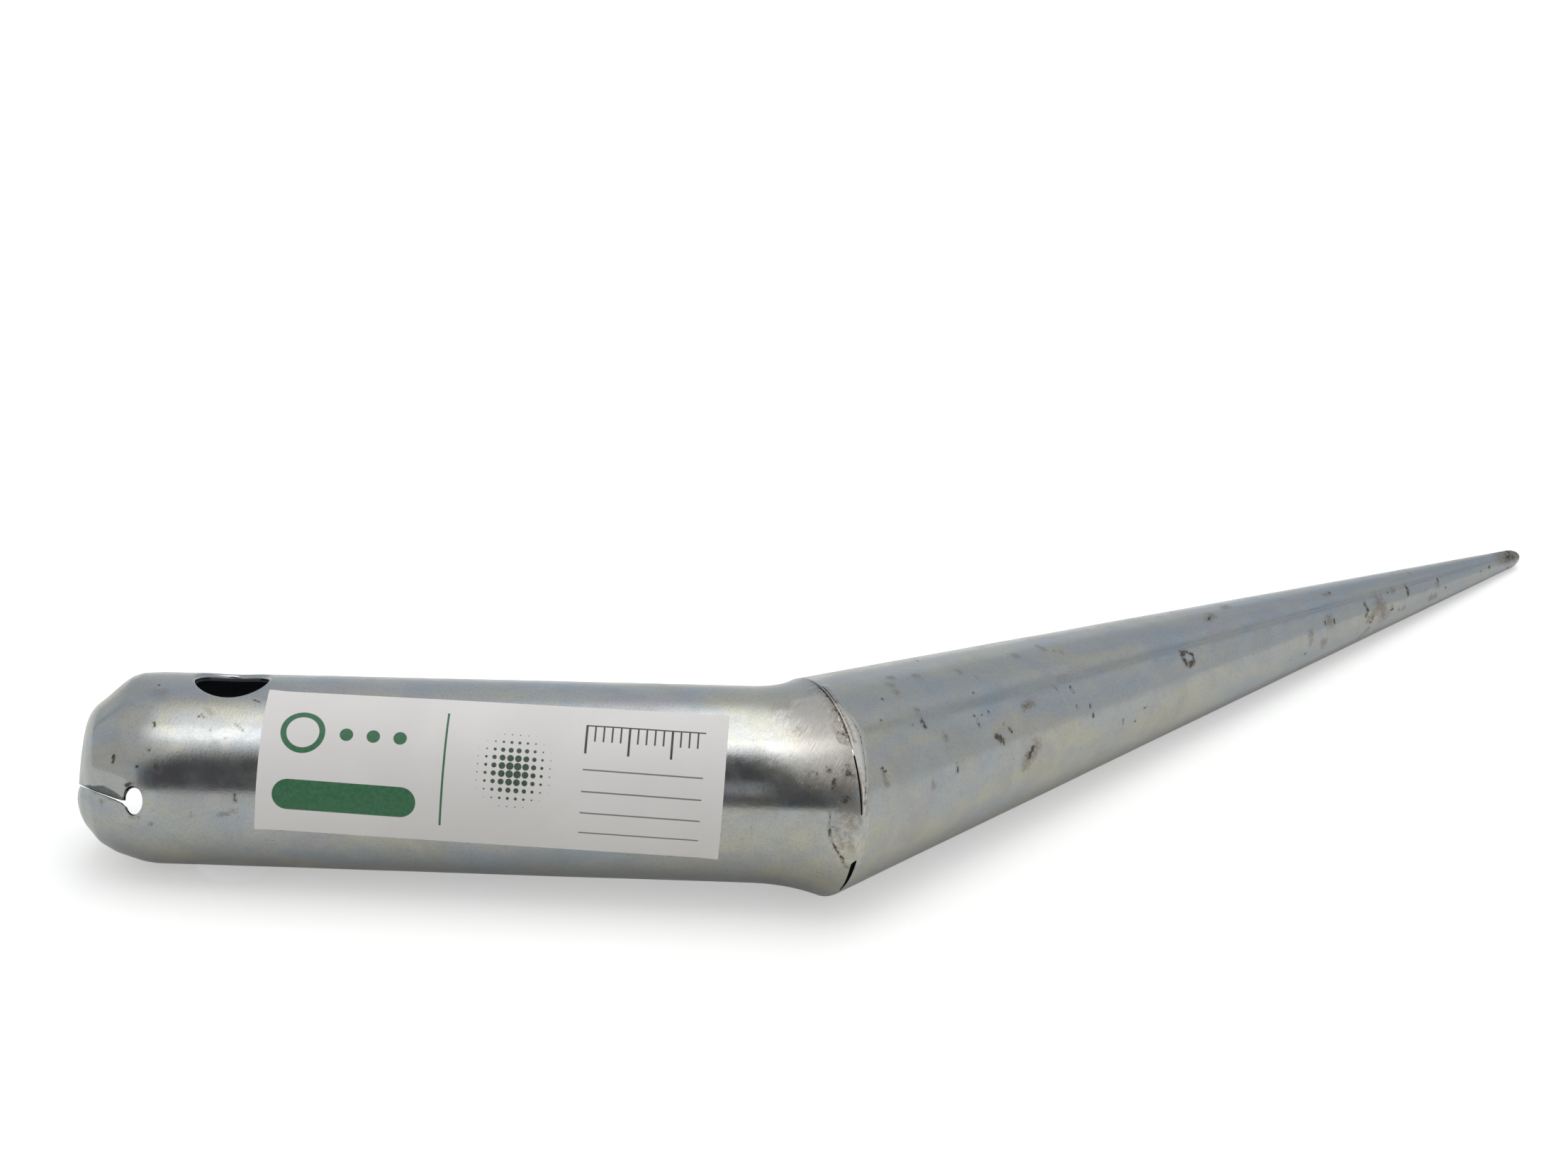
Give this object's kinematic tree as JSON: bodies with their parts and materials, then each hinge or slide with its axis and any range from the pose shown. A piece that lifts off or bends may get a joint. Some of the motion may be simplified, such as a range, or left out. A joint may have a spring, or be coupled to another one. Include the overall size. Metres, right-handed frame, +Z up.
{
  "type": "dibber",
  "caption": "Bent hand dibber of zinc-plated sheet steel: a closed tubular handle with a hanging hole, welded at an elbow to a long hollow planting spike.",
  "frame": {"origin": "middle of the footprint, on the surface that the tool lies on", "axes": "+X along the handle from its closed rear end to the elbow, +Z up from the surface; the spike turns towards +Y"},
  "size_m": [0.3218, 0.2032, 0.0422],
  "materials": {
    "zinc_plated_steel": "bright zinc plate with faint blue and yellow tints, stains and specks",
    "weld_metal": "dressed weld metal, plated over, with brown heat tint and dirt in the gaps",
    "label_paper": "coated white paper, slightly grey"
  },
  "bodies": {
    "root": {"handle_tube": "zinc_plated_steel", "spike_cone": "zinc_plated_steel", "spike_nose": "weld_metal", "handle_seam_weld": "weld_metal", "spike_seam_weld": "weld_metal", "elbow_weld_top": "weld_metal", "elbow_weld_side": "weld_metal", "elbow_weld_inner": "weld_metal", "paper_label": "label_paper"}
  },
  "joints": []
}
